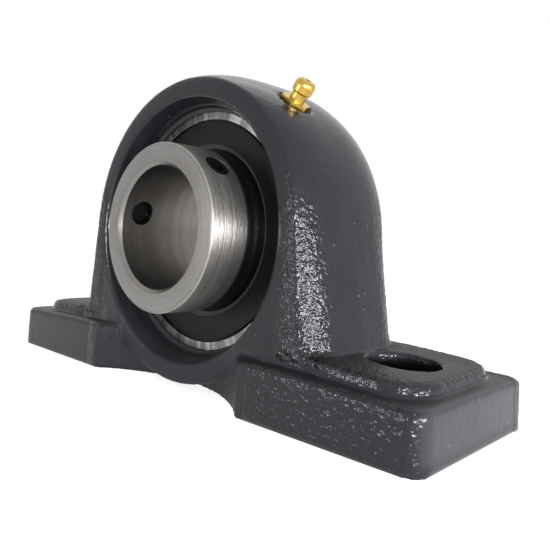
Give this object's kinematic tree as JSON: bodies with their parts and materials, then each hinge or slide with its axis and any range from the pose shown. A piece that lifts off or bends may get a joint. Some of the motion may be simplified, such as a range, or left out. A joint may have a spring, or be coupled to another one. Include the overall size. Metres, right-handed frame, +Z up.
{
  "type": "pillow block bearing",
  "caption": "Cast pillow block on a flat slotted base, with a self-aligning ball bearing insert, set screws in the long side of its inner ring, and a grease nipple.",
  "frame": {"origin": "on the base face, straight below the middle of the shaft axis", "axes": "+Z up from the base face, X along the base through both bolt slots, -Y the way the long side of the inner ring with its set screws points, along the shaft axis"},
  "size_m": [0.1786, 0.0592, 0.1],
  "materials": {
    "cast_housing": "glossy dark grey paint over a pebbly cast skin",
    "nipple_brass": "bright",
    "bearing_steel": "ground",
    "cage_steel": "pressed",
    "shield_steel": "dark, satin",
    "lip_rubber": "matte",
    "screw_steel": "black oxide",
    "spring_steel": "drawn"
  },
  "bodies": {
    "housing": {"housing": "cast_housing", "grease_nipple": "nipple_brass", "nipple_spring": "spring_steel"},
    "insert": {"outer_ring": "bearing_steel", "shield_front": "shield_steel", "shield_rear": "shield_steel", "lip_front": "lip_rubber", "lip_rear": "lip_rubber"},
    "inner_ring": {"inner_ring": "bearing_steel"},
    "cage": {"cage_front": "cage_steel", "cage_rear": "cage_steel", "cage_rivets": "cage_steel"},
    "set_screw_1": {"set_screw_1": "screw_steel"},
    "set_screw_2": {"set_screw_2": "screw_steel"},
    "check_ball": {"nipple_check_ball": "bearing_steel"},
    "ball_1": {"ball_1": "bearing_steel"},
    "ball_2": {"ball_2": "bearing_steel"},
    "ball_3": {"ball_3": "bearing_steel"},
    "ball_4": {"ball_4": "bearing_steel"},
    "ball_5": {"ball_5": "bearing_steel"},
    "ball_6": {"ball_6": "bearing_steel"},
    "ball_7": {"ball_7": "bearing_steel"},
    "ball_8": {"ball_8": "bearing_steel"},
    "ball_9": {"ball_9": "bearing_steel"}
  },
  "joints": [
    {"name": "insert_align", "type": "hinge", "parent": "housing", "child": "insert", "pos_m": [0, 0, 0.0492], "axis": [1, 0, 0], "range_deg": [-3, 3]},
    {"name": "shaft_spin", "type": "hinge", "parent": "insert", "child": "inner_ring", "pos_m": [0, 0, 0.0492], "axis": [0, 1, 0], "continuous": true},
    {"name": "cage_spin", "type": "hinge", "parent": "insert", "child": "cage", "pos_m": [0, 0, 0.0492], "axis": [0, 1, 0], "continuous": true},
    {"name": "ball_1_spin", "type": "hinge", "parent": "cage", "child": "ball_1", "pos_m": [0, 0, 0.0792], "axis": [0, 1, 0], "continuous": true},
    {"name": "ball_2_spin", "type": "hinge", "parent": "cage", "child": "ball_2", "pos_m": [0.01928, 0, 0.07218], "axis": [0, 1, 0], "continuous": true},
    {"name": "ball_3_spin", "type": "hinge", "parent": "cage", "child": "ball_3", "pos_m": [0.02954, 0, 0.05441], "axis": [0, 1, 0], "continuous": true},
    {"name": "ball_4_spin", "type": "hinge", "parent": "cage", "child": "ball_4", "pos_m": [0.02598, 0, 0.0342], "axis": [0, 1, 0], "continuous": true},
    {"name": "ball_5_spin", "type": "hinge", "parent": "cage", "child": "ball_5", "pos_m": [0.01026, 0, 0.02101], "axis": [0, 1, 0], "continuous": true},
    {"name": "ball_6_spin", "type": "hinge", "parent": "cage", "child": "ball_6", "pos_m": [-0.01026, 0, 0.02101], "axis": [0, 1, 0], "continuous": true},
    {"name": "ball_7_spin", "type": "hinge", "parent": "cage", "child": "ball_7", "pos_m": [-0.02598, 0, 0.0342], "axis": [0, 1, 0], "continuous": true},
    {"name": "ball_8_spin", "type": "hinge", "parent": "cage", "child": "ball_8", "pos_m": [-0.02954, 0, 0.05441], "axis": [0, 1, 0], "continuous": true},
    {"name": "ball_9_spin", "type": "hinge", "parent": "cage", "child": "ball_9", "pos_m": [-0.01928, 0, 0.07218], "axis": [0, 1, 0], "continuous": true},
    {"name": "set_screw_1_travel", "type": "slide", "parent": "inner_ring", "child": "set_screw_1", "axis": [0.6769, 0, 0.7361], "range_m": [-0.0016, 0.005]},
    {"name": "set_screw_2_travel", "type": "slide", "parent": "inner_ring", "child": "set_screw_2", "axis": [-0.9759, 0, 0.2181], "range_m": [-0.0016, 0.005]},
    {"name": "nipple_check_travel", "type": "slide", "parent": "housing", "child": "check_ball", "axis": [0.6157, 0, 0.788], "range_m": [-0.0009, 0], "stiffness_N_per_m": 200, "springref_m": 0.0015, "deforming": ["nipple_spring"]}
  ],
  "couplings": [
    {"joint": "cage_spin", "follows": "shaft_spin", "ratio": 0.4},
    {"joint": "ball_1_spin", "follows": "shaft_spin", "ratio": -2.4},
    {"joint": "ball_2_spin", "follows": "shaft_spin", "ratio": -2.4},
    {"joint": "ball_3_spin", "follows": "shaft_spin", "ratio": -2.4},
    {"joint": "ball_4_spin", "follows": "shaft_spin", "ratio": -2.4},
    {"joint": "ball_5_spin", "follows": "shaft_spin", "ratio": -2.4},
    {"joint": "ball_6_spin", "follows": "shaft_spin", "ratio": -2.4},
    {"joint": "ball_7_spin", "follows": "shaft_spin", "ratio": -2.4},
    {"joint": "ball_8_spin", "follows": "shaft_spin", "ratio": -2.4},
    {"joint": "ball_9_spin", "follows": "shaft_spin", "ratio": -2.4}
  ]
}
